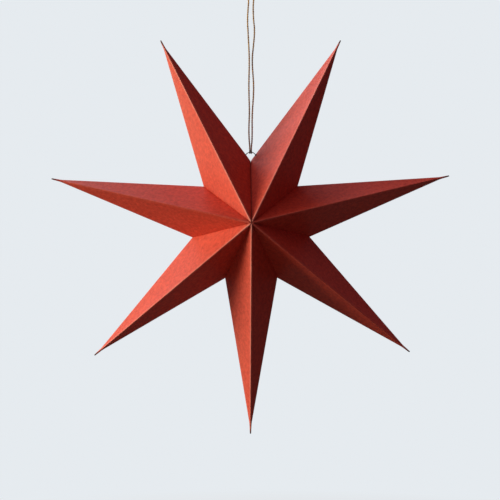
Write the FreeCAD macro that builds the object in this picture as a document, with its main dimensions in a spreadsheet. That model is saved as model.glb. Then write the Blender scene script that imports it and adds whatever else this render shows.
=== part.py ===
import FreeCAD, Part
import math
import os

import Sketcher

# Folding paper star for a window, hung from a doubled twine.
#
# Seven hollow points of folded paper stand side by side round the star's axis. Each point is one sheet
# folded to four flat faces that meet at a front ridge, a back ridge and two side folds, and it is glued to
# its neighbours by narrow flanges along the valleys between them. The top pair isn't glued: a wire ring
# through two punched holes ties it, and the twine is hitched round that ring.
#
# Frame: the origin is on the star's axis in its middle plane, +Z is up and the front faces -Y.
# Bearings run in the XZ plane, counter-clockwise from +X as the front shows them.
# In a point's own frame X runs from the star's axis to the tip, Y lies across the point on the
# counter-clockwise side and Z goes to the front.

POINT_COUNT = 7
PARTS_FOLDER = "parts"

# Sideways lean of each point's tip, in degrees: folded by hand, no two stand quite alike.
TIP_LEANS = {
    "point_1": -0.62,
    "point_2": 0.44,
    "point_3": -0.64,
    "point_4": -0.43,
    "point_5": 1.18,
    "point_6": -0.15,
    "point_7": 0.24,
}

# name, value in mm or degrees, what it is
DRIVING_SIZES = [
    ("tip_radius", 300, "star axis to the end of a tip"),
    ("valley_radius", 88, "star axis to the corner between two points"),
    ("seam_valley_radius", 92, "the same at the tied top seam, where the ring draws the edges together"),
    ("half_depth", 80, "middle plane to the front or back peak"),
    ("nose_length", 14, "slender pinched end of a tip"),
    ("nose_half_width", 1.4, "half width where the nose starts"),
    ("nose_end_half_width", 0.6, "half width at the very end"),
    ("closed_tip_length", 22, "end of a point where the folded layers leave no hollow"),
    ("paper_gauge", 0.4, "thickness of the paper"),
    ("flange_width", 10, "glue flange along a valley"),
    ("hub_hole_radius", 1.2, "opening where the seven corners meet at a peak"),
    ("seam_gap", 0.3, "air between the two tied flanges"),
    ("trim_overlap", 5, "how far the trimming of a point reaches past the paper"),
    ("ring_radius", 8.8, "tie ring, to the middle of its wire"),
    ("ring_wire_radius", 0.5, "wire of the tie ring"),
    ("ring_hole_inset", 4.3, "seam corner to the flange holes of the tie ring"),
    ("ring_turn", 12, "turn of the tie ring about the vertical, right side to the front"),
    ("ring_butt_angle", 2, "opening between the butted ends of the wire, as an angle of the ring"),
    ("ring_butt_bearing", 318, "where the butted ends lie, inside the upper right point"),
    ("hole_clearance", 0.2, "air round the wire in paper and twine"),
    ("twine_radius", 1, "jute twine"),
    ("strand_spacing", 2.2, "distance between the two strands where they enter the hitch"),
    ("hitch_neck_height", 3.3, "middle of the wire to the top of the hitch"),
]

# Middle line of the twine in mm, from the left side of the hitch up to the hanging loop and down again
# to the right side of the hitch.
TWINE_ROUTE = [
    (-1.08, 0.23, 108.6),
    (-1.08, 0.23, 113.0),
    (-1.9, 0.4, 121.5),
    (-2.5, 0.5, 138.0),
    (-1.2, 0.1, 166.0),
    (-2.3, -0.4, 202.0),
    (-0.9, -0.5, 242.0),
    (-2.6, -0.1, 277.0),
    (-3.7, 0.3, 301.0),
    (-2.5, 0.4, 317.5),
    (-1.4, 0.3, 329.5),
    (-4.7, 0.1, 338.3),
    (-4.7, 0.0, 343.8),
    (-0.9, 0.0, 347.6),
    (4.7, 0.0, 347.6),
    (8.5, 0.0, 343.8),
    (8.5, -0.1, 338.3),
    (5.5, -0.3, 329.5),
    (4.8, -0.4, 317.5),
    (5.2, -0.3, 301.5),
    (7.1, 0.1, 284.0),
    (5.1, 0.4, 262.0),
    (2.6, 0.5, 240.0),
    (5.2, 0.2, 205.0),
    (4.7, -0.2, 188.0),
    (2.5, -0.5, 160.0),
    (2.5, -0.4, 136.0),
    (2.2, -0.3, 121.5),
    (1.08, -0.23, 113.0),
    (1.08, -0.23, 108.6),
]

# Share of the shorter run that a route's arc takes up on each side of its corner.
ARC_SHARE = 0.45

# The twine's tube has flat sides, and its volume may be off by this share of its section times its length.
TWINE_SIDES = 8
VOLUME_TOLERANCE = 0.01

# How far the groove between two turns of twine stands out from the wire, in twine radii.
HITCH_GROOVE_SHARE = 1.4


def build_sheet(doc):
    """The spreadsheet with every driving size, each under its own alias."""
    sheet = doc.addObject("Spreadsheet::Sheet", "sizes")
    leans = [(name + "_lean", lean, "sideways lean of the tip") for name, lean in TIP_LEANS.items()]
    for row, (alias, value, note) in enumerate(DRIVING_SIZES + leans, start=1):
        sheet.set("A%d" % row, alias)
        sheet.set("B%d" % row, str(value))
        sheet.set("C%d" % row, note)
        sheet.setAlias("B%d" % row, alias)
    doc.recompute()
    return sheet


def build_shared_geometry(doc):
    """Measures that several sub-parts share, worked out from the driving sizes."""
    shared = doc.addObject("App::VarSet", "star")
    measures = {
        "half_sector": "180 / %d" % POINT_COUNT,
        "ring_height": "sizes.seam_valley_radius - sizes.ring_hole_inset + sizes.ring_radius",
        "ring_top": "ring_height + sizes.ring_radius",
        "through_depth": "2 * (sizes.half_depth + sizes.trim_overlap)",
    }
    for name, expression in measures.items():
        shared.addProperty("App::PropertyFloat", name)
        shared.setExpression(name, expression)
    doc.recompute()
    return shared


def origin_plane(body, role):
    """One of the body's own origin planes."""
    return next(item for item in body.Origin.OriginFeatures if item.Role == role)


def new_sketch(body, name, role, offset=None):
    """A sketch on an origin plane, moved by expressions for parts of its attachment offset."""
    sketch = body.newObject("Sketcher::SketchObject", name)
    sketch.AttachmentSupport = [(origin_plane(body, role), "")]
    sketch.MapMode = "FlatFace"
    for target, expression in (offset or {}).items():
        sketch.setExpression("AttachmentOffset." + target, expression)
    return sketch


def pin_corner(sketch, line, axis, expression):
    """Binds the start of a line to a distance from the sketch's origin along X or Y."""
    value = float(sketch.evalExpression(expression))
    kind = "Distance" + axis
    if abs(value) < 1e-9:
        across = -2 if axis == "X" else -1
        sketch.addConstraint(Sketcher.Constraint("PointOnObject", line, 1, across))
        return
    if value > 0:
        index = sketch.addConstraint(Sketcher.Constraint(kind, -1, 1, line, 1, value))
        sketch.setExpression("Constraints[%d]" % index, expression)
    else:
        index = sketch.addConstraint(Sketcher.Constraint(kind, line, 1, -1, 1, -value))
        sketch.setExpression("Constraints[%d]" % index, "-(%s)" % expression)


def draw_polygon(sketch, corners):
    """A closed polygon whose corners are given as pairs of expressions."""
    spots = [
        FreeCAD.Vector(float(sketch.evalExpression(along)), float(sketch.evalExpression(up)), 0)
        for along, up in corners
    ]
    lines = [
        sketch.addGeometry(Part.LineSegment(spot, spots[(number + 1) % len(spots)]), False)
        for number, spot in enumerate(spots)
    ]
    for number, line in enumerate(lines):
        following = lines[(number + 1) % len(lines)]
        sketch.addConstraint(Sketcher.Constraint("Coincident", line, 2, following, 1))
    for line, (along, up) in zip(lines, corners):
        pin_corner(sketch, line, "X", along)
        pin_corner(sketch, line, "Y", up)


def flat_sided_solid(rings):
    """A solid with flat faces between matching corners of neighbouring rings, closed at both ends."""
    outlines = [rings[0], rings[-1]]
    for near, far in zip(rings, rings[1:]):
        for number, corner in enumerate(near):
            following = (number + 1) % len(near)
            outlines.append([corner, near[following], far[following], far[number]])
    faces = [Part.Face(Part.makePolygon(outline + outline[:1])) for outline in outlines]
    return Part.makeSolid(Part.makeShell(faces))


def sector_prism(reach, half_height, insets):
    """The space between the two seam planes of a point, each moved inwards by its inset."""
    half_sector = math.pi / POINT_COUNT
    start = (insets["left"] + insets["right"]) / (2 * math.sin(half_sector))
    edges = {}
    for side, sign in (("left", 1), ("right", -1)):
        edges[side] = sign * (reach * math.sin(half_sector) - insets[side]) / math.cos(half_sector)
    corners = [
        FreeCAD.Vector(start, (insets["right"] - insets["left"]) / (2 * math.cos(half_sector)), -half_height),
        FreeCAD.Vector(reach, edges["right"], -half_height),
        FreeCAD.Vector(reach, edges["left"], -half_height),
    ]
    floor = Part.Face(Part.makePolygon(corners + corners[:1]))
    return floor.extrude(FreeCAD.Vector(0, 0, 2 * half_height))


def build_folded_sheet(doc, sheet, name, valleys, seam_side):
    """The folded sheet of one point before it is trimmed: flat faces and seam walls of paper round a hollow.

    Each section across the point is a kite with its corners on the two side folds and the two ridges. The
    side folds run through the valley corners to the nose, and the ridges from the peaks to the nose.
    """
    half_sector = math.pi / POINT_COUNT
    depth = float(sheet.half_depth)
    tip = float(sheet.tip_radius)
    gauge = float(sheet.paper_gauge)
    nose_start = tip - float(sheet.nose_length)
    nose_width = float(sheet.nose_half_width)
    drift = math.tan(math.radians(float(getattr(sheet, name + "_lean"))))

    reach = float(sheet.valley_radius) * math.cos(half_sector)
    width = float(sheet.valley_radius) * math.sin(half_sector)
    apex = nose_start + nose_width * (nose_start - reach) / (width - nose_width)
    plain_root = width * apex / (apex - reach)
    roots = {}
    for side, sign in (("left", 1), ("right", -1)):
        side_reach = float(getattr(sheet, valleys[side])) * math.cos(half_sector)
        side_width = float(getattr(sheet, valleys[side])) * math.sin(half_sector)
        rise = (side_width - sign * apex * drift) / (apex - side_reach)
        roots[side] = side_width + rise * side_reach

    def section(along, scale):
        middle = along * drift
        return [
            FreeCAD.Vector(along, middle + scale * roots["left"], 0),
            FreeCAD.Vector(along, middle, scale * depth),
            FreeCAD.Vector(along, middle - scale * roots["right"], 0),
            FreeCAD.Vector(along, middle, -scale * depth),
        ]

    slant = math.sqrt(1 / apex ** 2 + 1 / plain_root ** 2 + 1 / depth ** 2)
    hollow_scale = 1 - gauge * slant
    hollow_start = -float(sheet.trim_overlap)
    hollow_end = tip - float(sheet.closed_tip_length)
    outside = flat_sided_solid(
        [
            section(0, 1),
            section(nose_start, 1 - nose_start / apex),
            section(tip, float(sheet.nose_end_half_width) / plain_root),
        ]
    )
    hollow = flat_sided_solid(
        [
            section(hollow_start, hollow_scale - hollow_start / apex),
            section(hollow_end, hollow_scale - hollow_end / apex),
        ]
    )
    insets = {side: gauge + (float(sheet.seam_gap) / 2 if side == seam_side else 0) for side in valleys}
    folded = doc.addObject("Part::Feature", name + "_sheet")
    folded.Shape = outside.cut(hollow.common(sector_prism(tip, 2 * depth, insets)))
    return folded


def trim_to_sector(body, gaps):
    """Cuts the point back to its sector of the star, at each side less half of a seam gap."""
    sketch = new_sketch(body, body.Name + "_sector", "XY_Plane")
    near = "(0 - sizes.trim_overlap)"
    far = "(sizes.valley_radius + sizes.trim_overlap)"
    beyond = "(sizes.valley_radius + sizes.trim_overlap)"
    for sign, gap in (("1", gaps["left"]), ("-1", gaps["right"])):
        edge = sign + " * ({0} * tan(star.half_sector) - %s / cos(star.half_sector))" % gap
        across = sign + " * " + beyond
        draw_polygon(sketch, [(near, edge.format(near)), (far, edge.format(far)), (far, across), (near, across)])
    pocket = body.newObject("PartDesign::Pocket", body.Name + "_trim")
    pocket.Profile = sketch
    pocket.Midplane = True
    pocket.Type = "Length"
    pocket.setExpression("Length", "star.through_depth")
    return pocket


def open_seam_wall(body, side, valley, gap):
    """Opens the wall along one seam, but for a strip on the front and back folds: the glue flange."""
    turn = 1 if side == "left" else -1
    offset = {
        "Base.x": "%s * sin(star.half_sector)" % gap,
        "Base.z": "%d * %s * cos(star.half_sector)" % (turn, gap),
        "Rotation.Axis.x": "0",
        "Rotation.Axis.y": "1",
        "Rotation.Axis.z": "0",
        "Rotation.Angle": "%d * star.half_sector" % turn,
    }
    sketch = new_sketch(body, "%s_%s_window" % (body.Name, side), "XZ_Plane", offset)
    inset = "(sizes.flange_width / sizes.half_depth * sqrt(sizes.half_depth ^ 2 + sizes.%s ^ 2))" % valley
    along = "(sizes.%s - %s)" % (valley, inset)
    up = "(sizes.half_depth / sizes.%s * (%s + sizes.trim_overlap))" % (valley, along)
    draw_polygon(
        sketch,
        [
            ("(0 - sizes.trim_overlap)", up),
            ("(0 - sizes.trim_overlap)", "(0 - %s)" % up),
            (along, "0"),
        ],
    )
    window = body.newObject("PartDesign::Pocket", "%s_%s_opening" % (body.Name, side))
    window.Profile = sketch
    window.Midplane = True
    window.Type = "Length"
    window.setExpression("Length", "4 * sizes.paper_gauge")
    return window


def cut_hub_hole(body):
    """Rounds off the point's corner at the star's axis, front and back."""
    sketch = new_sketch(body, body.Name + "_hub_circle", "XY_Plane")
    circle = Part.Circle(FreeCAD.Vector(0, 0, 0), FreeCAD.Vector(0, 0, 1), 1)
    sketch.addGeometry(circle, False)
    sketch.addConstraint(Sketcher.Constraint("Coincident", 0, 3, -1, 1))
    radius = sketch.addConstraint(Sketcher.Constraint("Radius", 0, 1))
    sketch.setExpression("Constraints[%d]" % radius, "sizes.hub_hole_radius")
    pocket = body.newObject("PartDesign::Pocket", body.Name + "_hub_hole")
    pocket.Profile = sketch
    pocket.Midplane = True
    pocket.Type = "Length"
    pocket.setExpression("Length", "star.through_depth")
    return pocket


def require_less_volume(doc, feature, before):
    """Stops if a cut took nothing away."""
    doc.recompute()
    if feature.Shape.Volume >= before:
        raise RuntimeError(feature.Name + " cuts nothing")
    return feature.Shape.Volume


def build_folded_point(doc, sheet, name, bearing, seam_side=None):
    """One folded point as a body, set at its bearing round the star's axis."""
    valleys = {"left": "valley_radius", "right": "valley_radius"}
    gaps = {"left": "0", "right": "0"}
    if seam_side:
        valleys[seam_side] = "seam_valley_radius"
        gaps[seam_side] = "sizes.seam_gap / 2"
    body = doc.addObject("PartDesign::Body", name + "_folded")
    body.BaseFeature = build_folded_sheet(doc, sheet, name, valleys, seam_side)
    doc.recompute()
    volume = require_less_volume(doc, trim_to_sector(body, gaps), body.BaseFeature.Shape.Volume)
    for side in ("left", "right"):
        volume = require_less_volume(doc, open_seam_wall(body, side, valleys[side], gaps[side]), volume)
    require_less_volume(doc, cut_hub_hole(body), volume)
    upright = FreeCAD.Rotation(FreeCAD.Vector(1, 0, 0), 90)
    turned = FreeCAD.Rotation(FreeCAD.Vector(0, 1, 0), -bearing)
    body.Placement = FreeCAD.Placement(FreeCAD.Vector(0, 0, 0), turned.multiply(upright))
    return body


def ring_rotation(sheet, butt_bearing=0.0):
    """Turns a ring from lying flat to standing, its right side a little to the front."""
    standing = FreeCAD.Rotation(FreeCAD.Vector(1, 0, 0), 90)
    turned = FreeCAD.Rotation(FreeCAD.Vector(0, 0, 1), -float(sheet.ring_turn))
    rolled = FreeCAD.Rotation(FreeCAD.Vector(0, 0, 1), butt_bearing)
    return turned.multiply(standing).multiply(rolled)


def build_ring_torus(doc, sheet, name, wire_radius, butt_bearing=0.0):
    """A torus along the tie ring's middle line, of the given wire radius."""
    torus = doc.addObject("Part::Torus", name)
    torus.Placement = FreeCAD.Placement(FreeCAD.Vector(0, 0, 0), ring_rotation(sheet, butt_bearing))
    torus.setExpression("Placement.Base.z", "star.ring_height")
    torus.setExpression("Radius1", "sizes.ring_radius")
    torus.setExpression("Radius2", wire_radius)
    return torus


def build_tie_ring(doc, sheet):
    """The wire ring with its butted ends inside the upper right point."""
    ring = build_ring_torus(doc, sheet, "tie_ring", "sizes.ring_wire_radius", float(sheet.ring_butt_bearing))
    ring.setExpression("Angle3", "360 - sizes.ring_butt_angle")
    return ring


def build_hitch(doc, sheet, channel):
    """The hitch: two turns of twine side by side round the wire, and the neck where the strands leave."""
    about = FreeCAD.Rotation(FreeCAD.Vector(0, 0, 1), -float(sheet.ring_turn))
    across = about.multiply(FreeCAD.Rotation(FreeCAD.Vector(0, 1, 0), 90))
    crest = "sizes.ring_wire_radius + 2 * sizes.twine_radius"
    hollow = "sizes.ring_wire_radius + %s * sizes.twine_radius" % HITCH_GROOVE_SHARE
    turns = []
    for number in range(-2, 2):
        start = "%d * sizes.strand_spacing / 2" % number
        half_turn = doc.addObject("Part::Cone", "hitch_half_turn_%d" % (number + 3))
        half_turn.Placement = FreeCAD.Placement(FreeCAD.Vector(0, 0, 0), across)
        half_turn.setExpression("Placement.Base.x", start + " * cos(sizes.ring_turn)")
        half_turn.setExpression("Placement.Base.y", "0 - " + start + " * sin(sizes.ring_turn)")
        half_turn.setExpression("Placement.Base.z", "star.ring_top")
        half_turn.setExpression("Radius1", hollow if number % 2 == 0 else crest)
        half_turn.setExpression("Radius2", crest if number % 2 == 0 else hollow)
        half_turn.setExpression("Height", "sizes.strand_spacing / 2")
        turns.append(half_turn)
    half_length = "(sizes.strand_spacing / 2 + sizes.twine_radius)"
    half_width = "(sizes.twine_radius + sizes.ring_wire_radius / 2)"
    neck = doc.addObject("Part::Box", "hitch_neck")
    neck.setExpression("Length", "2 * " + half_length)
    neck.setExpression("Width", "2 * " + half_width)
    neck.setExpression("Height", "sizes.hitch_neck_height")
    neck.Placement.Rotation = about
    aside = "0 - {0} * cos(sizes.ring_turn) - {1} * sin(sizes.ring_turn)"
    forward = "{0} * sin(sizes.ring_turn) - {1} * cos(sizes.ring_turn)"
    neck.setExpression("Placement.Base.x", aside.format(half_length, half_width))
    neck.setExpression("Placement.Base.y", forward.format(half_length, half_width))
    neck.setExpression("Placement.Base.z", "star.ring_top")
    wrapped = doc.addObject("Part::MultiFuse", "hitch_wrapped")
    wrapped.Shapes = turns + [neck]
    hitch = doc.addObject("Part::Cut", "twine_hitch")
    hitch.Base = wrapped
    hitch.Tool = channel
    return hitch


def route_wire(corners):
    """Straight runs joined by tangent arcs, each as large as its runs allow, and the smallest radius."""
    radii = []
    edges = []
    start = corners[0]
    for before, corner, after in zip(corners, corners[1:], corners[2:]):
        inward = (before - corner).normalize()
        outward = (after - corner).normalize()
        half_turn = (math.pi - inward.getAngle(outward)) / 2
        shorter = min((before - corner).Length, (after - corner).Length)
        setback = ARC_SHARE * shorter
        radius = setback / math.tan(half_turn)
        entry = corner + inward * setback
        leave = corner + outward * setback
        bisector = (inward + outward).normalize()
        middle = corner + bisector * (radius / math.cos(half_turn) - radius)
        edges.append(Part.LineSegment(start, entry).toShape())
        edges.append(Part.Arc(entry, middle, leave).toShape())
        radii.append(radius)
        start = leave
    edges.append(Part.LineSegment(start, corners[-1]).toShape())
    return Part.Wire(edges), radii


def build_twine(doc, sheet):
    """The doubled twine as one tube along its route, of the round twine's section area."""
    corners = [FreeCAD.Vector(*spot) for spot in TWINE_ROUTE]
    path, radii = route_wire(corners)
    area = math.pi * float(sheet.twine_radius) ** 2
    corner_angle = 2 * math.pi / TWINE_SIDES
    corner_radius = math.sqrt(2 * area / (TWINE_SIDES * math.sin(corner_angle)))
    spots = [
        FreeCAD.Vector(
            corner_radius * math.cos((number + 0.5) * corner_angle),
            corner_radius * math.sin((number + 0.5) * corner_angle),
            0,
        )
        for number in range(TWINE_SIDES)
    ]
    section = Part.makePolygon([corners[0] + spot for spot in spots + spots[:1]])
    twine = doc.addObject("Part::Feature", "hanging_twine")
    twine.Shape = path.makePipeShell([section], True, False)
    print("twine length %.1f mm" % path.Length)
    print("twine radii mm", ", ".join("%.0f" % value for value in radii))
    print("twine volume %.1f of %.1f mm3" % (twine.Shape.Volume, area * path.Length))
    if abs(twine.Shape.Volume / (area * path.Length) - 1) > VOLUME_TOLERANCE:
        raise RuntimeError("the twine's volume is not its section times its length")
    return twine


def build_star():
    """Builds the whole document and returns it with its named sub-parts."""
    doc = FreeCAD.newDocument("paper_star")
    sheet = build_sheet(doc)
    build_shared_geometry(doc)
    paper_channel = build_ring_torus(
        doc, sheet, "paper_channel", "sizes.ring_wire_radius + sizes.hole_clearance"
    )
    pieces = []
    sector = 360 / POINT_COUNT
    for number in range(1, POINT_COUNT + 1):
        name = "point_%d" % number
        seam_side = {1: "left", POINT_COUNT: "right"}.get(number)
        body = build_folded_point(doc, sheet, name, 90 - (number - 0.5) * sector, seam_side)
        if seam_side:
            punched = doc.addObject("Part::Cut", name)
            punched.Base = body
            punched.Tool = paper_channel
            pieces.append(punched)
        else:
            body.Label = name
            pieces.append(body)
    pieces.append(build_tie_ring(doc, sheet))
    twine_channel = build_ring_torus(
        doc, sheet, "twine_channel", "sizes.ring_wire_radius + sizes.hole_clearance / 2"
    )
    pieces.append(build_hitch(doc, sheet, twine_channel))
    pieces.append(build_twine(doc, sheet))
    doc.recompute()
    return doc, pieces


def check_document(doc, pieces):
    """Stops on any failed object, and on a sub-part that isn't one valid solid."""
    for item in doc.Objects:
        if "Invalid" in item.State or "Error" in item.State:
            raise RuntimeError("%s is in state %s" % (item.Name, item.State))
    for piece in pieces:
        shape = piece.Shape
        if shape.isNull() or not shape.isValid() or len(shape.Solids) != 1:
            raise RuntimeError("%s is not one valid solid" % piece.Label)


def main():
    doc, pieces = build_star()
    check_document(doc, pieces)
    os.makedirs(PARTS_FOLDER, exist_ok=True)
    for piece in pieces:
        piece.Shape.exportStep("%s/%s.step" % (PARTS_FOLDER, piece.Label))
        print("%-14s volume %9.1f mm3" % (piece.Label, piece.Shape.Volume))


main()
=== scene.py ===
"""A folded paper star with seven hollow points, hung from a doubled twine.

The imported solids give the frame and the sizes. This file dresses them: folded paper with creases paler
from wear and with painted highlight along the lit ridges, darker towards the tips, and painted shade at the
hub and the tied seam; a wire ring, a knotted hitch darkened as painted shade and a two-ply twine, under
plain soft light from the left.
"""

import logging
import math
import random
from dataclasses import dataclass, field, replace
from enum import Enum

import bpy
from mathutils import Matrix, Vector
from mathutils import noise as lattice

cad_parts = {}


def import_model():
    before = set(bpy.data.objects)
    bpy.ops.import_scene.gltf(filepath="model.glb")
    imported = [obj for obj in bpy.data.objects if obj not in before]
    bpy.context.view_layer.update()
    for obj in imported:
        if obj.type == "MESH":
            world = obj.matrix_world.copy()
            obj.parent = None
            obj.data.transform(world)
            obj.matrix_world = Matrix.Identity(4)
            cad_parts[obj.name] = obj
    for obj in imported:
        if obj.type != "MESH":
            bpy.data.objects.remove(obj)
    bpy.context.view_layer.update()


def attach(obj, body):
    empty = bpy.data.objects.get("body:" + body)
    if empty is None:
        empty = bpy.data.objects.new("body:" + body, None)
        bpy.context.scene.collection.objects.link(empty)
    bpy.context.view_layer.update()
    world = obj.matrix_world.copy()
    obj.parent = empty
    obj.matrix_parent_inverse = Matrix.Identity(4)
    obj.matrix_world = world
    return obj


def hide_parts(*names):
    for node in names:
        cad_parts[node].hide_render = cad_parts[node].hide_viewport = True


LOG = logging.getLogger("paper_star")
MM = 0.001
BODY = "root"
CURVE_STEPS = 24
CURVE_ORDER = 3

Colour = tuple[float, float, float, float]
Socket = bpy.types.NodeSocket


class Side(Enum):
    """A side of a point, seen along it from the star's middle with the front towards the eye."""

    LEFT = 1
    RIGHT = -1


class PathEnd(Enum):
    """What the twine's far end comes back to."""

    OBJECT = "object"


def rgba(red: float, green: float, blue: float) -> Colour:
    """A colour with full cover."""
    return (red, green, blue, 1.0)


class ShaderGraph:
    """A short way to lay out the nodes of one material."""

    def __init__(self, name: str) -> None:
        """Starts an empty node material.

        Args:
            name: the material's name.
        """
        self.material = bpy.data.materials.new(name)
        self.material.use_nodes = True
        self.tree = self.material.node_tree
        self.tree.nodes.clear()
        self.output = self.add("ShaderNodeOutputMaterial")

    def add(self, kind: str, **settings: object) -> bpy.types.Node:
        """Adds a node.

        Args:
            kind: Blender's name of the node type.
            **settings: the node's own properties.

        Returns:
            The new node.
        """
        node = self.tree.nodes.new(kind)
        for key, value in settings.items():
            setattr(node, key, value)
        return node

    def link(self, source: Socket, target: Socket) -> None:
        """Joins an output to an input."""
        self.tree.links.new(source, target)

    def place(self) -> Socket:
        """The shaded point in the object's own coordinates."""
        return self.add("ShaderNodeTexCoord").outputs["Object"]

    def grain(
        self,
        scale: float,
        detail: float,
        roughness: float = 0.5,
        stretch: tuple[float, float, float] = (1.0, 1.0, 1.0),
    ) -> Socket:
        """Noise in the object's coordinates.

        Args:
            scale: cells per metre.
            detail: layers of finer noise.
            roughness: the share that each finer layer keeps.
            stretch: scale along each axis.

        Returns:
            The noise as a value of about 0 to 1.
        """
        mapping = self.add("ShaderNodeMapping")
        mapping.inputs["Scale"].default_value = stretch
        self.link(self.place(), mapping.inputs["Vector"])
        texture = self.add("ShaderNodeTexNoise")
        texture.inputs["Scale"].default_value = scale
        texture.inputs["Detail"].default_value = detail
        texture.inputs["Roughness"].default_value = roughness
        self.link(mapping.outputs["Vector"], texture.inputs["Vector"])
        return texture.outputs["Fac"]

    def remap(
        self, value: Socket, low: float, high: float, to_low: float = 0.0, to_high: float = 1.0
    ) -> Socket:
        """Moves a value from one range to another and holds it there.

        Args:
            value: the value.
            low, high: the first range.
            to_low, to_high: the second range.

        Returns:
            The moved value.
        """
        node = self.add("ShaderNodeMapRange")
        node.inputs["From Min"].default_value = low
        node.inputs["From Max"].default_value = high
        node.inputs["To Min"].default_value = to_low
        node.inputs["To Max"].default_value = to_high
        self.link(value, node.inputs["Value"])
        return node.outputs["Result"]

    def blend(self, share: Socket, first: object, second: object) -> Socket:
        """Mixes two colours.

        Args:
            share: how much of the second colour shows.
            first: a colour or a socket.
            second: a colour or a socket.

        Returns:
            The mixed colour.
        """
        node = self.add("ShaderNodeMix", data_type="RGBA")
        self.link(share, node.inputs[0])
        for socket, value in ((node.inputs[6], first), (node.inputs[7], second)):
            if isinstance(value, Socket):
                self.link(value, socket)
            else:
                socket.default_value = value
        return node.outputs[2]

    def mix(self, share: Socket, first: Socket, second: Socket) -> Socket:
        """Mixes two shaders, with the share that the second one has."""
        node = self.add("ShaderNodeMixShader")
        for number, source in enumerate((share, first, second)):
            self.link(source, node.inputs[number])
        return node.outputs[0]

    def attribute(self, name: str) -> Socket:
        """A mesh's own value at the shaded point."""
        return self.add("ShaderNodeAttribute", attribute_name=name).outputs["Fac"]

    def bump(self, height: Socket, strength: float, distance: float) -> Socket:
        """A bumped normal from a height."""
        node = self.add("ShaderNodeBump")
        node.inputs["Strength"].default_value = strength
        node.inputs["Distance"].default_value = distance
        self.link(height, node.inputs["Height"])
        return node.outputs["Normal"]

    def surface(self, roughness: float, **levels: float) -> bpy.types.Node:
        """Adds the main shader with plain values and joins it to the output.

        Args:
            roughness: the surface's roughness.
            **levels: other sockets, with underscores for their spaces.

        Returns:
            The shader node.
        """
        shader = self.add("ShaderNodeBsdfPrincipled")
        shader.inputs["Roughness"].default_value = roughness
        for key, value in levels.items():
            shader.inputs[key.replace("_", " ")].default_value = value
        self.link(shader.outputs[0], self.output.inputs["Surface"])
        return shader


@dataclass(frozen=True)
class PaperFinish:
    """Matt red craft paper with short fibres, paler at its creases from wear and, on the ridges of the
    points that face the light, as painted highlight; darker towards its closed tips, with painted shade at
    the hub and the tied seam.
    """

    name: str = "red_craft_paper"
    base: Colour = rgba(0.53, 0.031, 0.018)
    fleck: Colour = rgba(0.8, 0.08, 0.042)
    # The pale crease colour: wear at the folds, and painted highlight along the ridges of the lit points.
    crease: Colour = rgba(0.86, 0.32, 0.27)
    # The dark colour towards the tips, also painted shade in the hollow of the hub and along the tied seam.
    tip: Colour = rgba(0.085, 0.022, 0.018)
    roughness: float = 0.5
    shine: float = 0.42
    relief: float = 0.00012

    def build(self) -> bpy.types.Material:
        """Builds the paper's material."""
        graph = ShaderGraph(self.name)
        cloud = graph.remap(graph.grain(210.0, 3.0, 0.6), 0.3, 0.7)
        fibre = graph.remap(graph.grain(760.0, 2.0, 0.65, (1.0, 1.0, 0.45)), 0.35, 0.75)
        mottled = graph.blend(cloud, self.base, self.fleck)
        flecked = graph.blend(graph.remap(fibre, 0.0, 1.0, 0.0, 0.45), mottled, self.fleck)
        # Folds paler from wear and, on the lit points' ridges, as painted highlight; then darker towards
        # the tips and painted shade at the hub and the tied seam.
        worn_and_highlit = graph.blend(graph.attribute("fold_wear_and_highlight"), flecked, self.crease)
        with_painted_shade = graph.blend(graph.attribute("tip_dark_and_painted_shade"), worn_and_highlit, self.tip)
        shader = graph.surface(self.roughness, Specular_IOR_Level=self.shine)
        graph.link(with_painted_shade, shader.inputs["Base Color"])
        graph.link(graph.bump(fibre, 0.25, self.relief), shader.inputs["Normal"])
        return graph.material


@dataclass(frozen=True)
class TwineFinish:
    """Brown jute: dull strands with lighter fibres along them."""

    name: str = "jute_strands"
    dark: Colour = rgba(0.32, 0.16, 0.05)
    light: Colour = rgba(0.8, 0.46, 0.17)
    roughness: float = 0.85

    def build(self) -> bpy.types.Material:
        """Builds the twine's material."""
        graph = ShaderGraph(self.name)
        strand = graph.remap(graph.grain(900.0, 3.0, 0.7, (1.0, 1.0, 0.35)), 0.3, 0.7)
        patch = graph.remap(graph.grain(120.0, 1.0), 0.35, 0.65, 0.0, 0.5)
        tone = graph.blend(strand, self.dark, self.light)
        shader = graph.surface(self.roughness, Sheen_Weight=0.15, Sheen_Roughness=0.6)
        graph.link(graph.blend(patch, tone, self.light), shader.inputs["Base Color"])
        graph.link(graph.bump(strand, 0.5, 0.0002), shader.inputs["Normal"])
        return graph.material


# A darker copy of the jute for the hitch, as painted shade.
SHADED_JUTE = TwineFinish("jute_with_painted_shade", rgba(0.08, 0.05, 0.026), rgba(0.27, 0.175, 0.09))


@dataclass(frozen=True)
class WireFinish:
    """Dark tinned wire, a little rubbed."""

    name: str = "dark_tie_wire"
    base: Colour = rgba(0.1, 0.075, 0.06)
    rubbed: Colour = rgba(0.22, 0.18, 0.15)
    roughness: float = 0.42
    metallic: float = 0.85

    def build(self) -> bpy.types.Material:
        """Builds the wire's material."""
        graph = ShaderGraph(self.name)
        rub = graph.remap(graph.grain(500.0, 3.0, 0.6), 0.4, 0.7)
        shader = graph.surface(self.roughness, Metallic=self.metallic)
        graph.link(graph.blend(rub, self.base, self.rubbed), shader.inputs["Base Color"])
        graph.link(graph.bump(rub, 0.2, 0.00005), shader.inputs["Normal"])
        return graph.material


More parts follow.
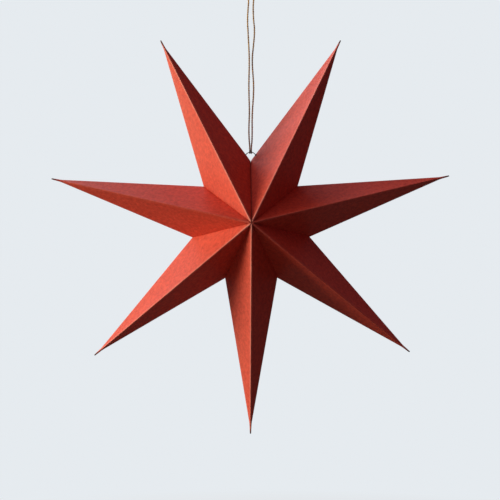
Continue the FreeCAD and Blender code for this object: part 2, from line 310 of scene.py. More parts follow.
@dataclass(frozen=True)
class StudioFinish:
    """The pale floor: shaded near the star, the studio's plain colour further out, clear from below."""

    name: str = "pale_studio_floor"
    seen: Colour = rgba(0.79, 0.83, 0.865)
    shaded: Colour = rgba(0.93, 0.97, 1.0)
    bounced: Colour = rgba(0.15, 0.15, 0.15)
    near: float = 0.5
    far: float = 1.05
    near_share: float = 0.5

    def build(self) -> bpy.types.Material:
        """Builds the floor's material."""
        graph = ShaderGraph(self.name)
        paths = graph.add("ShaderNodeLightPath")
        diffuse = graph.add("ShaderNodeBsdfDiffuse")
        tone = graph.blend(paths.outputs["Is Camera Ray"], self.bounced, self.shaded)
        graph.link(tone, diffuse.inputs["Color"])
        plain = graph.add("ShaderNodeEmission")
        plain.inputs["Color"].default_value = self.seen
        distance = graph.add("ShaderNodeVectorMath", operation="LENGTH")
        graph.link(graph.place(), distance.inputs[0])
        faded = graph.remap(distance.outputs["Value"], self.near, self.far, self.near_share, 1.0)
        share = graph.add("ShaderNodeMath", operation="MULTIPLY")
        graph.link(seen_directly(graph.tree, paths), share.inputs[0])
        graph.link(faded, share.inputs[1])
        mixed = graph.mix(share.outputs[0], diffuse.outputs[0], plain.outputs[0])
        clear = graph.add("ShaderNodeBsdfTransparent").outputs[0]
        behind = graph.add("ShaderNodeNewGeometry").outputs["Backfacing"]
        graph.link(graph.mix(behind, mixed, clear), graph.output.inputs["Surface"])
        return graph.material


def seen_directly(tree: bpy.types.NodeTree, paths: bpy.types.Node, mirrored: float = 0.05) -> Socket:
    """How much of the plain backdrop a ray sees: all of it from the camera, a little of it in metal.

    Args:
        tree: the node tree to add to.
        paths: its light path node.
        mirrored: the share that shows in metal and other glossy surfaces.

    Returns:
        The share, which is 0 for light on the star.
    """
    looks = paths.outputs["Is Camera Ray"]
    for kind, share in (("Is Glossy Ray", mirrored), ("Is Transmission Ray", 1.0)):
        dimmed = tree.nodes.new("ShaderNodeMath")
        dimmed.operation = "MULTIPLY"
        dimmed.inputs[1].default_value = share
        tree.links.new(paths.outputs[kind], dimmed.inputs[0])
        either = tree.nodes.new("ShaderNodeMath")
        either.operation = "MAXIMUM"
        tree.links.new(looks, either.inputs[0])
        tree.links.new(dimmed.outputs[0], either.inputs[1])
        looks = either.outputs[0]
    return looks


def add_object(name: str, data: bpy.types.ID) -> bpy.types.Object:
    """Puts a new object with this data in the scene."""
    made = bpy.data.objects.new(name, data)
    bpy.context.scene.collection.objects.link(made)
    return made


def make_object(name: str, mesh: bpy.types.Mesh, material: bpy.types.Material) -> bpy.types.Object:
    """Puts a mesh in the scene with one material.

    Args:
        name: the object's name.
        mesh: its mesh, in the star's frame.
        material: its material.

    Returns:
        The object.
    """
    mesh.materials.append(material)
    return add_object(name, mesh)


def finished_mesh(thing: bpy.types.Object) -> bpy.types.Mesh:
    """The mesh that an object's modifiers or its curve make."""
    bpy.context.view_layer.update()
    graph = bpy.context.evaluated_depsgraph_get()
    return bpy.data.meshes.new_from_object(thing.evaluated_get(graph))


def tube_faces(first: int, rows: int, sides: int, closed: bool = False) -> list[tuple[int, ...]]:
    """Joins the rings of spots along a tube.

    Args:
        first: the number of its first spot.
        rows: how many rings it has.
        sides: spots per ring.
        closed: whether its last ring joins its first. An open tube gets a cap at each end.

    Returns:
        The faces.
    """
    faces: list[tuple[int, ...]] = []
    for row in range(rows if closed else rows - 1):
        low, high = first + row * sides, first + (row + 1) % rows * sides
        for side in range(sides):
            beside = (side + 1) % sides
            faces.append((low + side, low + beside, high + beside, high + side))
    if not closed:
        last = first + (rows - 1) * sides
        faces.append(tuple(first + side for side in reversed(range(sides))))
        faces.append(tuple(last + side for side in range(sides)))
    return faces


def smoothstep(value: float) -> float:
    """Rises smoothly from 0 to 1 as the value does, and holds outside."""
    held = min(1.0, max(0.0, value))
    return held * held * (3.0 - 2.0 * held)


@dataclass(frozen=True)
class StarSizes:
    """Shared sizes in millimetres, as the solids have them but for the wider hub and ring holes."""

    count: int = 7
    tip_radius: float = 300.0
    valley_radius: float = 88.0
    seam_valley_radius: float = 92.0
    half_depth: float = 80.0
    nose_length: float = 14.0
    nose_half_width: float = 1.4
    nose_end_half_width: float = 0.6
    paper_gauge: float = 0.4
    flange_width: float = 10.0
    seam_gap: float = 0.3
    hub_radius: float = 1.3
    ring_radius: float = 8.8
    ring_height: float = 96.5
    ring_turn: float = 12.0
    ring_wire_radius: float = 0.5
    ring_hole_radius: float = 1.6
    ring_butt_angle: float = 2.0
    ring_butt_bearing: float = 318.0
    ring_parts: int = 96
    ring_sides: int = 12

    @property
    def half_sector(self) -> float:
        """Half of the angle that one point takes, in radians."""
        return math.pi / self.count

    @property
    def nose_start(self) -> float:
        """Where the slim nose begins."""
        return self.tip_radius - self.nose_length

    def valley(self, radius: float) -> tuple[float, float]:
        """A valley corner's reach along the point and its distance from the point's middle line."""
        return radius * math.cos(self.half_sector), radius * math.sin(self.half_sector)

    @property
    def apex(self) -> float:
        """Where the plain folds would meet without the nose."""
        reach, width = self.valley(self.valley_radius)
        slim = self.nose_half_width
        return self.nose_start + slim * (self.nose_start - reach) / (width - slim)

    @property
    def plain_root(self) -> float:
        """A plain point's half width carried back to the star's axis."""
        reach, width = self.valley(self.valley_radius)
        return width * self.apex / (self.apex - reach)

    @property
    def ring_top(self) -> float:
        """The height of the ring's highest point, at the middle of its wire."""
        return self.ring_height + self.ring_radius


def ring_tube(sizes: StarSizes, radius: float, name: str, gap: float = 0.0) -> bpy.types.Mesh:
    """A tube along the tie ring's middle line.

    Args:
        sizes: the star's sizes.
        radius: the tube's radius in millimetres.
        name: the mesh's name.
        gap: the opening between its ends in degrees, or 0 for a closed ring.

    Returns:
        The mesh, in metres.
    """
    turn = math.radians(sizes.ring_turn)
    along = Vector((math.cos(turn), -math.sin(turn), 0.0))
    level = Vector((math.sin(turn), math.cos(turn), 0.0))
    up = Vector((0.0, 0.0, 1.0))
    parts, sides = sizes.ring_parts, sizes.ring_sides
    stations = parts + 1 if gap else parts
    begin = math.radians(sizes.ring_butt_bearing)
    sweep = math.radians(360.0 - gap)
    spots = []
    for number in range(stations):
        swing = begin + sweep * number / parts
        out = along * math.cos(swing) + up * math.sin(swing)
        for place in range(sides):
            roll = 2 * math.pi * place / sides
            spot = out * (sizes.ring_radius + radius * math.cos(roll))
            spot += level * (radius * math.sin(roll))
            spots.append((spot + up * sizes.ring_height) * MM)
    mesh = bpy.data.meshes.new(name)
    mesh.from_pydata(spots, [], tube_faces(0, stations, sides, closed=not gap))
    return mesh


@dataclass
class FoldedPoint:
    """One point of the star: a sheet folded to four faces, with a glue flange along each seam."""

    number: int
    lean: float
    sizes: StarSizes
    seam_side: Side | None = None
    # How pale this point's ridges are: higher on the points that face the light, as painted highlight.
    ridge_wear_and_highlight: float = 1.0
    rings: int = 64
    bow: float = 0.55
    ripple: float = 0.484
    ripple_lengths: tuple[float, float, float] = (46.0, 30.0, 40.0)
    ripple_shift: float = 7.3
    seam_fade: float = 22.0
    crease_radius: float = 0.75
    crease_steps: int = 4
    side_fold_share: float = 0.7
    largest_cut: float = 0.25
    wear_width: float = 1.5
    ridge_wear_base: float = 0.42
    hub_wear: float = 0.35
    hub_wear_length: float = 60.0
    side_wear: float = 0.2
    patch_length: float = 17.0
    gape: float = 0.4
    gape_reach: float = 4.5
    # Darker towards the tip, and painted shade in the hollow of the hub and along the tied seam.
    tip_dark_length: float = 12.0
    painted_hub_shade: float = 0.8
    painted_hub_shade_length: float = 7.0
    painted_seam_shade: float = 0.75
    painted_seam_shade_width: float = 2.0
    edge_marks: tuple[float, ...] = (1.2, 3.2)
    mark_share: float = 0.1
    inner_steps: int = 7
    flange_rows: tuple[float, ...] = (1.0, 0.5, 0.12)
    glued_inset: float = 0.04
    probe_along: float = 40.0
    probe_margin: float = 10.0
    halvings: int = 40
    drift: float = field(init=False)
    roots: dict[Side, float] = field(init=False)

    def __post_init__(self) -> None:
        """Works out the lean's slope and the half widths at the star's axis."""
        self.drift = math.tan(math.radians(self.lean))
        self.roots = {}
        for side in Side:
            reach, width = self.sizes.valley(self.valley_radius(side))
            rise = (width - side.value * self.sizes.apex * self.drift) / (self.sizes.apex - reach)
            self.roots[side] = width + rise * reach

    @property
    def node(self) -> str:
        """The name of the solid that this piece stands for."""
        return f"point_{self.number}"

    @property
    def bearing(self) -> float:
        """The point's direction round the star's axis, in radians from the right."""
        return math.pi / 2 - (self.number - 0.5) * 2 * self.sizes.half_sector

    def valley_radius(self, side: Side) -> float:
        """How far out the valley on one side lies."""
        return self.sizes.seam_valley_radius if side is self.seam_side else self.sizes.valley_radius

    def seam_inset(self, side: Side) -> float:
        """How far the paper keeps from the seam's middle plane."""
        return self.sizes.seam_gap / 2 if side is self.seam_side else self.glued_inset

    def scale(self, along: float) -> float:
        """The section's size at a distance along the point, as a share of that at the axis."""
        sizes = self.sizes
        if along <= sizes.nose_start:
            return 1 - along / sizes.apex
        start = 1 - sizes.nose_start / sizes.apex
        end = sizes.nose_end_half_width / sizes.plain_root
        share = (along - sizes.nose_start) / sizes.nose_length
        return start + (end - start) * share

    def corners(self, along: float) -> list[Vector]:
        """The section's front ridge, left fold, back ridge and right fold, each as (across, front)."""
        scale, middle = self.scale(along), along * self.drift
        depth = self.sizes.half_depth * scale
        return [
            Vector((middle, depth)),
            Vector((middle + scale * self.roots[Side.LEFT], 0.0)),
            Vector((middle, -depth)),
            Vector((middle - scale * self.roots[Side.RIGHT], 0.0)),
        ]

    def section_spot(self, along: float, quarter: int, step: int) -> tuple[Vector, float]:
        """A spot on the rounded section.

        Args:
            along: distance along the point.
            quarter: which corner the spot follows, 0 to 3.
            step: 0 to crease_steps round the corner's crease, then along the face to the next corner.

        Returns:
            The spot as (across, front), and the wear of its fold from 0 to 1.
        """
        corners = self.corners(along)
        here, after = corners[quarter], corners[(quarter + 1) % 4]
        before = corners[quarter - 1]
        edge = (after - here).length
        back = (before - here).length
        radius = self.crease_radius * (1.0 if quarter % 2 == 0 else self.side_fold_share)
        cut = min(radius, self.largest_cut * edge, self.largest_cut * back)
        if step <= self.crease_steps:
            start = here + (before - here) * (cut / back)
            end = here + (after - here) * (cut / edge)
            share = step / self.crease_steps
            spot = start * (1 - share) ** 2 + here * (2 * share * (1 - share)) + end * share**2
            return spot, 1.0
        marks = len(self.edge_marks)
        total = 2 * marks + self.inner_steps
        index = step - self.crease_steps - 1
        next_cut = min(self.crease_radius, self.largest_cut * edge)
        spread = self.mark_share * edge
        if index < marks:
            distance = cut + min(self.edge_marks[index], spread * (index + 1))
        elif index >= total - marks:
            mirrored = total - 1 - index
            distance = edge - next_cut - min(self.edge_marks[mirrored], spread * (mirrored + 1))
        else:
            low = cut + min(self.edge_marks[-1], spread * marks)
            high = edge - next_cut - min(self.edge_marks[-1], spread * marks)
            distance = low + (high - low) * (index - marks + 1) / (self.inner_steps + 1)
        nearest = min(distance - cut, edge - distance - next_cut)
        return here + (after - here) * (distance / edge), math.exp(-((nearest / self.wear_width) ** 2))

    @property
    def steps(self) -> int:
        """Spots per quarter of a section."""
        return self.crease_steps + 1 + 2 * len(self.edge_marks) + self.inner_steps

    def start_along(self, quarter: int, step: int) -> tuple[float, Side]:
        """Where a lengthwise line begins: on its seam plane, found by halving.

        Args:
            quarter: the line's quarter of the section.
            step: its place in that quarter.

        Returns:
            The distance along the point, and the side whose seam it starts on.
        """
        middle_line = self.probe_along * self.drift
        probe = self.section_spot(self.probe_along, quarter, step)[0].x - middle_line
        side = Side.LEFT if probe >= 0 else Side.RIGHT
        slope = math.tan(self.sizes.half_sector)
        shift = self.seam_inset(side) / math.cos(self.sizes.half_sector)
        low, high = 0.0, self.sizes.seam_valley_radius + self.probe_margin
        for _ in range(self.halvings):
            middle = (low + high) / 2
            across = self.section_spot(middle, quarter, step)[0].x * side.value
            if across > middle * slope - shift:
                low = middle
            else:
                high = middle
        return max(high, self.sizes.hub_radius), side

    def bend(self, spot: Vector, from_seam: float, wear: float) -> Vector:
        """Bows a face inwards a little and ripples it, but not at its folds or its seam.

        Args:
            spot: the flat spot as (along, across, front).
            from_seam: its distance from the seam, along the point.
            wear: the wear of its nearest fold.

        Returns:
            The moved spot.
        """
        along = spot.x
        scale = self.scale(along)
        middle = along * self.drift
        root = self.roots[Side.LEFT] if spot.y > middle else self.roots[Side.RIGHT]
        share = min(1.0, abs(spot.y - middle) / max(1e-6, root * scale))
        swell = 4 * share * (1 - share) * min(1.0, 2.2 * scale)
        fade = smoothstep(from_seam / self.seam_fade)
        length, width, depth = self.ripple_lengths
        shift = self.number * self.ripple_shift
        wave = lattice.noise(Vector((along / length, spot.y / width + shift, spot.z / depth)))
        amount = (-self.bow + self.ripple * wave) * swell * fade
        side = 1.0 if spot.y > middle else -1.0
        front = 1.0 if spot.z > 0 else -1.0
        normal = Vector((0.2, side * self.sizes.half_depth, front * root)).normalized()
        return spot + normal * amount * (1 - wear * 0.5)

    def open_seam(self, spot: Vector, side: Side) -> Vector:
        """Pulls the tied seam's paper a little away from its neighbour near the valley."""
        if side is not self.seam_side:
            return spot
        reach, width = self.sizes.valley(self.valley_radius(side))
        away = (spot - Vector((reach, side.value * width, 0.0))).length
        pull = self.gape * math.exp(-((away / self.gape_reach) ** 2))
        turn = self.sizes.half_sector
        return spot + Vector((math.sin(turn), -side.value * math.cos(turn), 0.0)) * pull

    def flange_spot(self, edge_spot: Vector, side: Side, share: float) -> Vector:
        """A spot on the glue flange, folded inwards from a spot on the seam's edge.

        Args:
            edge_spot: the spot on the edge as (along, across, front).
            side: the seam's side.
            share: 0 at the fold, 1 at the flange's inner edge.

        Returns:
            The spot on the flange.
        """
        turn = self.sizes.half_sector
        radius, depth = self.valley_radius(side), self.sizes.half_depth
        outwards = math.hypot(edge_spot.x, edge_spot.y)
        slant = math.hypot(radius, depth)
        inset = self.sizes.flange_width * share
        distance = outwards - inset * depth / slant
        height = abs(edge_spot.z) - inset * radius / slant
        corner = radius - inset * slant / depth
        if height < 0:
            height, distance = 0.0, corner
        if distance < self.sizes.hub_radius:
            distance = self.sizes.hub_radius
            height = max(0.0, (corner - distance) * depth / radius)
        shift = self.seam_inset(side)
        front = math.copysign(height, edge_spot.z) if edge_spot.z else height
        along = distance * math.cos(turn) + shift * math.sin(turn)
        across = side.value * (distance * math.sin(turn) - shift * math.cos(turn))
        return Vector((along, across, front))

    def to_star(self, spot: Vector) -> Vector:
        """Carries a spot from the point's own frame in millimetres to the star's in metres."""
        cosine, sine = math.cos(self.bearing), math.sin(self.bearing)
        right = spot.x * cosine - spot.y * sine
        up = spot.x * sine + spot.y * cosine
        return Vector((right * MM, -spot.z * MM, up * MM))

    def build_mesh(self) -> bpy.types.Mesh:
        """The outer face of the sheet with its flanges, before it is given thickness.

        Returns:
            The mesh, with the wear and painted highlight of its folds, and the darkening towards its tip
            with painted shade at the hub and the tied seam, as values per corner point.
        """
        lines = [(quarter, step) for quarter in range(4) for step in range(self.steps)]
        spots: list[Vector] = []
        wears_and_highlights: list[float] = []
        tip_darks_and_painted_shades: list[float] = []
        rows = len(self.flange_rows) + self.rings
        for quarter, step in lines:
            start, side = self.start_along(quarter, step)
            edge, _ = self.section_spot(start, quarter, step)
            edge_spot = Vector((start, edge.x, edge.y))
            for share in self.flange_rows:
                spots.append(self.open_seam(self.flange_spot(edge_spot, side, share), side))
                wears_and_highlights.append(0.0)
                tip_darks_and_painted_shades.append(0.0)
            for ring in range(self.rings):
                share = ring / (self.rings - 1)
                eased = 0.5 * share + 0.5 * (1 - math.cos(math.pi * share)) / 2
                along = start + (self.sizes.tip_radius - start) * eased
                spot, wear = self.section_spot(along, quarter, step)
                flat = Vector((along, spot.x, spot.y))
                bent = self.bend(flat, along - start, wear)
                spots.append(self.open_seam(bent, side))
                wears_and_highlights.append(wear * self.wear_and_highlight_at(along, quarter, step))
                tip_darks_and_painted_shades.append(self.tip_dark_and_painted_shade_at(along, start, side, wear))
        mesh = bpy.data.meshes.new(self.node + "_paper")
        faces = []
        count = len(lines)
        for line in range(count):
            here, beside = line * rows, (line + 1) % count * rows
            for row in range(rows - 1):
                faces.append((here + row, beside + row, beside + row + 1, here + row + 1))
        faces.append(tuple(line * rows + rows - 1 for line in range(count)))
        mesh.from_pydata([self.to_star(spot) for spot in spots], [], faces)
        for name, values in (("fold_wear_and_highlight", wears_and_highlights), ("tip_dark_and_painted_shade", tip_darks_and_painted_shades)):
            mesh.attributes.new(name, "FLOAT", "POINT").data.foreach_set("value", values)
        return mesh

    def wear_and_highlight_at(self, along: float, quarter: int, step: int) -> float:
        """How pale a fold is at a distance along the point: ridges more than side folds, and unevenly, from
        wear, with a painted highlight on the ridges of the points that face the light.
        """
        ridge = quarter % 2 == 0 if step < self.steps // 2 else quarter % 2 == 1
        place = Vector((along / self.patch_length, self.number * 3.1, quarter * 5.0))
        patch = 0.75 + 0.5 * lattice.noise(place)
        near_hub = self.hub_wear * math.exp(-((along / self.hub_wear_length) ** 2))
        ridge_wear_and_highlight = (self.ridge_wear_base + near_hub) * self.ridge_wear_and_highlight
        return (ridge_wear_and_highlight if ridge else self.side_wear) * patch

    def tip_dark_and_painted_shade_at(self, along: float, start: float, side: Side, wear: float) -> float:
        """How dark the paper is painted: towards its closed tip, and as painted shade in the hollow of the
        hub and along the tied seam.

        Args:
            along: distance along the point.
            start: where this line leaves its seam.
            side: the side of that seam.
            wear: the wear of the nearest fold, which stays pale.

        Returns:
            The darkness from 0 to 1.
        """
        tip = smoothstep(1 - (self.sizes.tip_radius - along) / self.tip_dark_length)
        # Painted shade in the hollow round the hub, but not on the pale folds.
        hub = self.painted_hub_shade * math.exp(-((along / self.painted_hub_shade_length) ** 2)) * (1 - wear)
        seam = 0.0
        # Painted shade along the crease of the tied seam.
        if side is self.seam_side:
            seam = self.painted_seam_shade * math.exp(-(((along - start) / self.painted_seam_shade_width) ** 2))
        return max(tip, hub, seam)

    def dress(self, material: bpy.types.Material) -> bpy.types.Object:
        """Builds the folded sheet, gives it its thickness, and lets it stand for its solid.

        Args:
            material: the paper.

        Returns:
            The finished piece.
        """
        piece = make_object(self.node + "_folded", self.build_mesh(), material)
        thick = piece.modifiers.new("gauge", "SOLIDIFY")
        thick.thickness = self.sizes.paper_gauge * MM
        thick.offset = -1.0
        if self.seam_side is not None:
            tunnel = ring_tube(self.sizes, self.sizes.ring_hole_radius, "ring_tunnel")
            cutter = make_object("ring_tunnel", tunnel, material)
            holes = piece.modifiers.new("ring_holes", "BOOLEAN")
            holes.object = cutter
            holes.operation = "DIFFERENCE"
            holes.solver = "MANIFOLD"
        folded = finished_mesh(piece)
        piece.modifiers.clear()
        piece.data = folded
        if self.seam_side is not None:
            bpy.data.objects.remove(cutter)
        for face in piece.data.polygons:
            face.use_smooth = True
        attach(piece, BODY)
        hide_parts(self.node)
        LOG.info("%s: %d faces", piece.name, len(piece.data.polygons))
        return piece


@dataclass
class PaperStar:
    """The seven points, glued side by side, with the tied seam at the top."""

    sizes: StarSizes = field(default_factory=StarSizes)
    leans: tuple[float, ...] = (-0.62, 0.44, -0.64, -0.43, 1.18, -0.15, 0.24)
    # How pale each point's ridges are: high on points 1, 4, 5 and 7, which face the light, as painted
    # highlight.
    ridge_wears_and_highlights: tuple[float, ...] = (1.0, 0.35, 0.3, 1.0, 0.9, 0.25, 1.0)
    long_point: int = 4
    long_tip: float = 308.5
    long_nose: float = 15.0

    def points(self) -> list[FoldedPoint]:
        """The points, clockwise from the upper right one, the bottom one drawn out to a longer tip."""
        seams = {1: Side.LEFT, self.sizes.count: Side.RIGHT}
        longer = replace(self.sizes, tip_radius=self.long_tip, nose_length=self.long_nose)
        return [
            FoldedPoint(
                number,
                lean,
                longer if number == self.long_point else self.sizes,
                seams.get(number),
                wear,
            )
            for number, (lean, wear) in enumerate(zip(self.leans, self.ridge_wears_and_highlights), start=1)
        ]

    def dress(self, finish: PaperFinish) -> list[bpy.types.Object]:
        """Builds and dresses all the points.

        Args:
            finish: the paper's finish.

        Returns:
            The finished pieces.
        """
        material = finish.build()
        return [point.dress(material) for point in self.points()]


@dataclass
class TieRing:
    """The wire ring through the two top points, with its ends butted inside the right one."""

    sizes: StarSizes = field(default_factory=StarSizes)
    lacquer: float = 0.12

    def dress(self, finish: WireFinish) -> bpy.types.Object:
        """Builds the ring, a coat of lacquer thicker than its bare wire.

        Args:
            finish: the wire's finish.

        Returns:
            The finished piece.
        """
        radius = self.sizes.ring_wire_radius + self.lacquer
        wire = ring_tube(self.sizes, radius, "tie_ring_wire", self.sizes.ring_butt_angle)
        ring = make_object("tie_ring_wire", wire, finish.build())
        for face in ring.data.polygons:
            face.use_smooth = len(face.vertices) == 4
        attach(ring, BODY)
        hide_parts("tie_ring")
        LOG.info("%s: %d faces", ring.name, len(ring.data.polygons))
        return ring


def smooth_line(points: list[Vector], name: str) -> list[Vector]:
    """The smooth line that a route's points pull towards them.

    Args:
        points: the route's points, in metres.
        name: a name for the line while it is made.

    Returns:
        Points along the line, close together.
    """
    curve = bpy.data.curves.new(name, "CURVE")
    curve.dimensions = "3D"
    curve.resolution_u = CURVE_STEPS
    spline = curve.splines.new("NURBS")
    spline.points.add(len(points) - 1)
    for control, spot in zip(spline.points, points):
        control.co = (*spot, 1.0)
    spline.order_u = CURVE_ORDER
    spline.use_endpoint_u = True
    holder = add_object(name, curve)
    mesh = finished_mesh(holder)
    line = [vertex.co.copy() for vertex in mesh.vertices]
    bpy.data.objects.remove(holder)
    bpy.data.meshes.remove(mesh)
    bpy.data.curves.remove(curve)
    return line


def even_line(line: list[Vector], step: float) -> list[Vector]:
    """The same line with its points an even step apart.

    Args:
        line: points along a line.
        step: the wanted distance, in metres.

    Returns:
        The new points, ends included.
    """
    reaches = [0.0]
    for first, second in zip(line, line[1:]):
        reaches.append(reaches[-1] + (second - first).length)
    count = max(2, round(reaches[-1] / step))
    even, index = [], 0
    for number in range(count + 1):
        wanted = reaches[-1] * number / count
        while index < len(line) - 2 and reaches[index + 1] < wanted:
            index += 1
        gap = reaches[index + 1] - reaches[index]
        share = (wanted - reaches[index]) / gap if gap > 0 else 0.0
        even.append(line[index].lerp(line[index + 1], min(1.0, share)))
    return even


@dataclass
class PlyTwister:
    """Lays plies round a line, as a twine's are."""

    plies: int = 2
    offset: float = 0.52 * MM
    ply_radius: float = 0.7 * MM
    pitch: float = 5.2 * MM
    sides: int = 8
    unevenness: float = 0.12
    following: float = 0.3
    seed: int = 3

    def frames(self, line: list[Vector]) -> list[tuple[Vector, Vector]]:
        """Two directions across the line at each of its points, carried along without twist."""
        tangents = []
        for number in range(len(line)):
            first, last = line[max(0, number - 1)], line[min(len(line) - 1, number + 1)]
            tangents.append((last - first).normalized())
        across = tangents[0].orthogonal().normalized()
        found = []
        for tangent in tangents:
            across = (across - tangent * across.dot(tangent)).normalized()
            found.append((across, tangent.cross(across)))
        return found

    def build(self, line: list[Vector], name: str) -> bpy.types.Mesh:
        """The plies as one mesh.

        Args:
            line: the twine's middle line, with evenly spaced points.
            name: the mesh's name.

        Returns:
            The mesh.
        """
        chance = random.Random(self.seed)
        frames = self.frames(line)
        step = (line[1] - line[0]).length
        spots: list[Vector] = []
        faces: list[tuple[int, ...]] = []
        for ply in range(self.plies):
            first = len(spots)
            swell = 1.0
            for number, (middle, (across, over)) in enumerate(zip(line, frames)):
                angle = 2 * math.pi * (number * step / self.pitch + ply / self.plies)
                wanted = 1.0 + chance.uniform(-1, 1) * self.unevenness
                swell += (wanted - swell) * self.following
                centre = middle + (across * math.cos(angle) + over * math.sin(angle)) * self.offset
                for side in range(self.sides):
                    turn = 2 * math.pi * side / self.sides
                    reach = self.ply_radius * swell
                    spots.append(centre + (across * math.cos(turn) + over * math.sin(turn)) * reach)
            faces += tube_faces(first, len(line), self.sides)
        mesh = bpy.data.meshes.new(name)
        mesh.from_pydata(spots, [], faces)
        for face in mesh.polygons:
            face.use_smooth = True
        return mesh


@dataclass
class LooseFibres:
    """Short hairs of jute that stand out of the twine."""

    per_metre: float = 2600.0
    longest: float = 2.1 * MM
    thickness: float = 0.06 * MM
    root_share: float = 0.75
    seed: int = 11

    def build(self, line: list[Vector], radius: float, name: str) -> bpy.types.Mesh:
        """The hairs as thin three-sided spikes.

        Args:
            line: the twine's middle line.
            radius: the twine's radius.
            name: the mesh's name.

        Returns:
            The mesh.
        """
        chance = random.Random(self.seed)
        reach = sum((b - a).length for a, b in zip(line, line[1:]))
        spots: list[Vector] = []
        faces: list[tuple[int, ...]] = []
        for _ in range(round(reach * self.per_metre)):
            index = chance.randrange(1, len(line) - 2)
            tangent = (line[index + 1] - line[index - 1]).normalized()
            across = tangent.orthogonal().normalized()
            out = Matrix.Rotation(chance.uniform(0, 2 * math.pi), 3, tangent) @ across
            leaning = out * chance.uniform(0.3, 1.0)
            leaning += tangent * chance.choice((-1, 1)) * chance.uniform(0.6, 1.6)
            way = leaning.normalized()
            root = line[index] + out * radius * self.root_share
            length = self.longest * chance.uniform(0.35, 1.0) ** 1.5
            bend = (out + tangent * chance.uniform(-1, 1)) * length * 0.25
            middle = root + way * length * 0.55 + bend * 0.4
            end = root + way * length + bend
            side = way.cross(out).normalized() * self.thickness
            up = way.cross(side).normalized() * self.thickness
            first = len(spots)
            for centre, share in ((root, 1.0), (middle, 0.8)):
                spots.append(centre + side * share)
                spots.append(centre + (up - side * 0.5) * share)
                spots.append(centre - (up + side * 0.5) * share)
            spots.append(end)
            for number in range(3):
                following = (number + 1) % 3
                faces.append((first + number, first + following, first + 3 + following, first + 3 + number))
                faces.append((first + 3 + number, first + 3 + following, first + 6))
        mesh = bpy.data.meshes.new(name)
        mesh.from_pydata(spots, [], faces)
        return mesh


@dataclass
class HangingTwine:
    """The doubled twine: up from the hitch, round its loop, and down again."""

    radius: float = 1.0 * MM
    length: float = 0.487
    step: float = 0.5 * MM
    route: tuple[tuple[float, float, float], ...] = (
        (-1.08, 0.23, 108.6), (-1.08, 0.23, 113.0),
        (-1.9, 0.4, 121.5), (-2.5, 0.5, 138.0),
        (-1.2, 0.1, 166.0), (-2.3, -0.4, 202.0),
        (-0.9, -0.5, 242.0), (-2.6, -0.1, 277.0),
        (-3.7, 0.3, 301.0), (-2.5, 0.4, 317.5),
        (-1.4, 0.3, 329.5), (-4.7, 0.1, 338.3),
        (-4.7, 0.0, 343.8), (-0.9, 0.0, 347.6),
        (4.7, 0.0, 347.6), (8.5, 0.0, 343.8),
        (8.5, -0.1, 338.3), (5.5, -0.3, 329.5),
        (4.8, -0.4, 317.5), (5.2, -0.3, 301.5),
        (7.1, 0.1, 284.0), (5.1, 0.4, 262.0),
        (2.6, 0.5, 240.0), (5.2, 0.2, 205.0),
        (4.7, -0.2, 188.0), (2.5, -0.5, 160.0),
        (2.5, -0.4, 136.0), (2.2, -0.3, 121.5),
        (1.08, -0.23, 113.0), (1.08, -0.23, 108.6),
    )

    def dress(self, material: bpy.types.Material, hitch: bpy.types.Object) -> bpy.types.Object:
        """Args:
            material: the jute.
            hitch: the piece that the twine leaves; not used.

        Returns:
            The twine.
        """
        points = [Vector(spot) * MM for spot in self.route]
        line = even_line(smooth_line(points, "twine_route"), self.step)
        plies = PlyTwister().build(line, "twine_plies")
        spikes = LooseFibres().build(line, self.radius, "twine_hairs")
        twine = make_object("hanging_twine_plies", plies, material)
        hairs = make_object("twine_hairs", spikes, material)
        for piece in (twine, hairs):
            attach(piece, BODY)
        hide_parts("hanging_twine")
        LOG.info("twine: %d points along its line", len(line))
        return twine


@dataclass
class TwineHitch:
    """The lark's head that holds the doubled twine on the ring: two turns and the bight across them."""

    sizes: StarSizes = field(default_factory=StarSizes)
    twine_radius: float = 1.0
    spacing: float = 1.08
    step: float = 0.3 * MM

    def route(self) -> list[Vector]:
        """The hitch's route in millimetres from the ring's top: along it, towards the front, up."""
        clear = self.sizes.ring_wire_radius + self.twine_radius
        gap = self.spacing
        right = [
            (gap, 0.0, 4.4),
            (gap * 1.02, 0.1, 3.0),
            (gap * 1.1, -1.0, 1.6),
            (gap * 1.15, -clear * 1.25, 0.2),
            (gap * 1.1, -clear * 0.75, -clear * 1.2),
            (gap * 1.05, clear * 0.75, -clear * 1.2),
            (gap * 1.05, clear * 1.25, 0.4),
            (gap * 1.0, 1.7, 1.7),
            (gap * 0.45, 1.9, 2.6),
        ]
        left = [(-along, front, up) for along, front, up in reversed(right)]
        return [Vector(spot) for spot in right + left]

    def to_star(self, spot: Vector) -> Vector:
        """Carries a spot of the route to the star's frame in metres."""
        turn = math.radians(self.sizes.ring_turn)
        right = spot.x * math.cos(turn) - spot.y * math.sin(turn)
        back = -spot.x * math.sin(turn) - spot.y * math.cos(turn)
        return Vector((right * MM, back * MM, (spot.z + self.sizes.ring_top) * MM))

    def dress(self, material: bpy.types.Material) -> bpy.types.Object:
        """Builds the hitch as one twisted strand.

        Args:
            material: the jute, darkened as painted shade.

        Returns:
            The finished piece.
        """
        points = [self.to_star(spot) for spot in self.route()]
        line = even_line(smooth_line(points, "hitch_route"), self.step)
        twister = PlyTwister(offset=0.42 * MM, ply_radius=0.54 * MM, pitch=4.6 * MM, seed=5)
        hitch = make_object("twine_hitch_plies", twister.build(line, "hitch_plies"), material)
        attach(hitch, BODY)
        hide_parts("twine_hitch")
        LOG.info("hitch: %d points along its line", len(line))
        return hitch


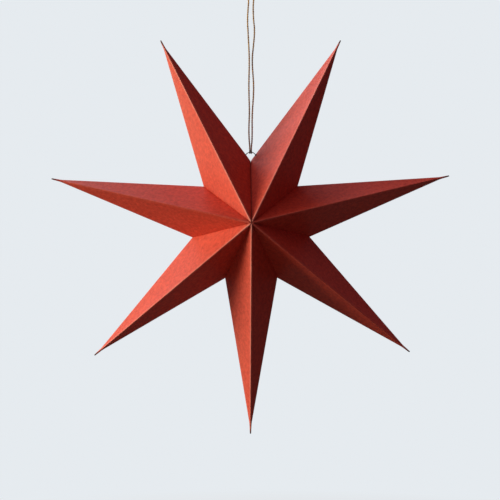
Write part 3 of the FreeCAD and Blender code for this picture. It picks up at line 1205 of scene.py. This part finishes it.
@dataclass(frozen=True)
class SoftLight:
    """A round soft light that faces the star."""

    name: str
    azimuth: float
    elevation: float
    size: float
    power: float
    colour: tuple[float, float, float] = (1.0, 1.0, 1.0)
    distance: float = 3.2

    def build(self) -> None:
        """Hangs the light, azimuth degrees from the front towards the left, out of the camera's sight."""
        light = bpy.data.lights.new(self.name, "AREA")
        light.shape = "DISK"
        light.size = self.size
        light.energy = self.power
        light.color = self.colour
        lamp = add_object(self.name, light)
        turn, rise = math.radians(self.azimuth), math.radians(self.elevation)
        way = Vector((-math.sin(turn) * math.cos(rise), -math.cos(turn) * math.cos(rise), math.sin(rise)))
        lamp.location = way * self.distance
        lamp.rotation_mode = "QUATERNION"
        lamp.rotation_quaternion = way.to_track_quat("Z", "Y")
        lamp.visible_camera = False


@dataclass(frozen=True)
class Studio:
    """The plain studio: a pale floor, soft lights mostly from the left, and an even surround."""

    floor_height: float = -0.56
    floor_size: float = 60.0
    surround: tuple[float, float, float] = (0.79, 0.83, 0.865)
    fill: tuple[float, float, float] = (1.0, 0.5, 0.62)
    fill_strength: float = 0.12
    lights: tuple[SoftLight, ...] = (
        SoftLight("left_key", 81.0, 14.0, 1.9, 66.0, (0.96, 1.0, 0.7)),
        SoftLight("left_low", 86.0, -4.0, 1.5, 62.0, (0.96, 1.0, 0.7)),
        SoftLight("left_rim", 128.0, 18.0, 2.0, 12.0, (1.0, 1.0, 0.9)),
        SoftLight("upper_back", 140.0, 50.0, 2.0, 38.0, (1.0, 0.9, 0.95)),
        SoftLight("upper_front", 40.0, 40.0, 1.9, 9.0),
    )

    def add_floor(self) -> None:
        """Lays the floor."""
        half = self.floor_size / 2
        mesh = bpy.data.meshes.new("studio_floor")
        corners = [(-half, -half, 0), (half, -half, 0), (half, half, 0), (-half, half, 0)]
        mesh.from_pydata([Vector(corner) for corner in corners], [], [(0, 1, 2, 3)])
        floor = make_object("studio_floor", mesh, StudioFinish().build())
        floor.location = (0.0, 0.0, self.floor_height)

    def add_surround(self) -> None:
        """Sets the even light from all round, and the plain colour that the camera sees."""
        world = bpy.data.worlds.new("studio_surround")
        world.use_nodes = True
        tree = world.node_tree
        tree.nodes.clear()
        mixed = tree.nodes.new("ShaderNodeMixShader")
        looks = ((self.fill, self.fill_strength), (self.surround, 1.0))
        for number, (colour, strength) in enumerate(looks, start=1):
            shade = tree.nodes.new("ShaderNodeBackground")
            shade.inputs["Color"].default_value = rgba(*colour)
            shade.inputs["Strength"].default_value = strength
            tree.links.new(shade.outputs[0], mixed.inputs[number])
        paths = tree.nodes.new("ShaderNodeLightPath")
        output = tree.nodes.new("ShaderNodeOutputWorld")
        tree.links.new(seen_directly(tree, paths), mixed.inputs[0])
        tree.links.new(mixed.outputs[0], output.inputs["Surface"])
        bpy.context.scene.world = world

    def build(self) -> None:
        """Sets up the whole studio."""
        self.add_floor()
        for light in self.lights:
            light.build()
        self.add_surround()
        bpy.context.scene.view_settings.view_transform = "Standard"


@dataclass(frozen=True)
class Viewpoint:
    """The camera: level, a little to the left of the star and below its middle."""

    position: tuple[float, float, float] = (-28.5, -2200.0, -38.6)
    yaw: float = 0.7
    roll: float = 0.3
    lens: float = 107.677
    sensor: float = 36.0

    def build(self) -> None:
        """Places the camera."""
        yaw, roll = math.radians(self.yaw), math.radians(self.roll)
        forward = Vector((math.sin(yaw), math.cos(yaw), 0.0))
        level = Vector((math.cos(yaw), -math.sin(yaw), 0.0))
        down = Vector((0.0, 0.0, -1.0))
        right = level * math.cos(roll) + down * math.sin(roll)
        up = level * math.sin(roll) - down * math.cos(roll)
        data = bpy.data.cameras.new("viewpoint")
        data.lens = self.lens
        data.sensor_width = self.sensor
        camera = add_object("viewpoint", data)
        turned = Matrix((right, up, -forward)).transposed().to_4x4()
        camera.matrix_world = Matrix.Translation(Vector(self.position) * MM) @ turned
        bpy.context.scene.camera = camera


def main() -> None:
    """Builds the star, its hanging and its studio."""
    logging.basicConfig(level=logging.INFO, format="%(name)s %(message)s")
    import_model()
    Viewpoint().build()
    Studio().build()
    jute = TwineFinish().build()
    hitch = TwineHitch().dress(SHADED_JUTE.build())
    HangingTwine().dress(jute, hitch)
    TieRing().dress(WireFinish())
    PaperStar().dress(PaperFinish())


if __name__ == "__main__":
    main()
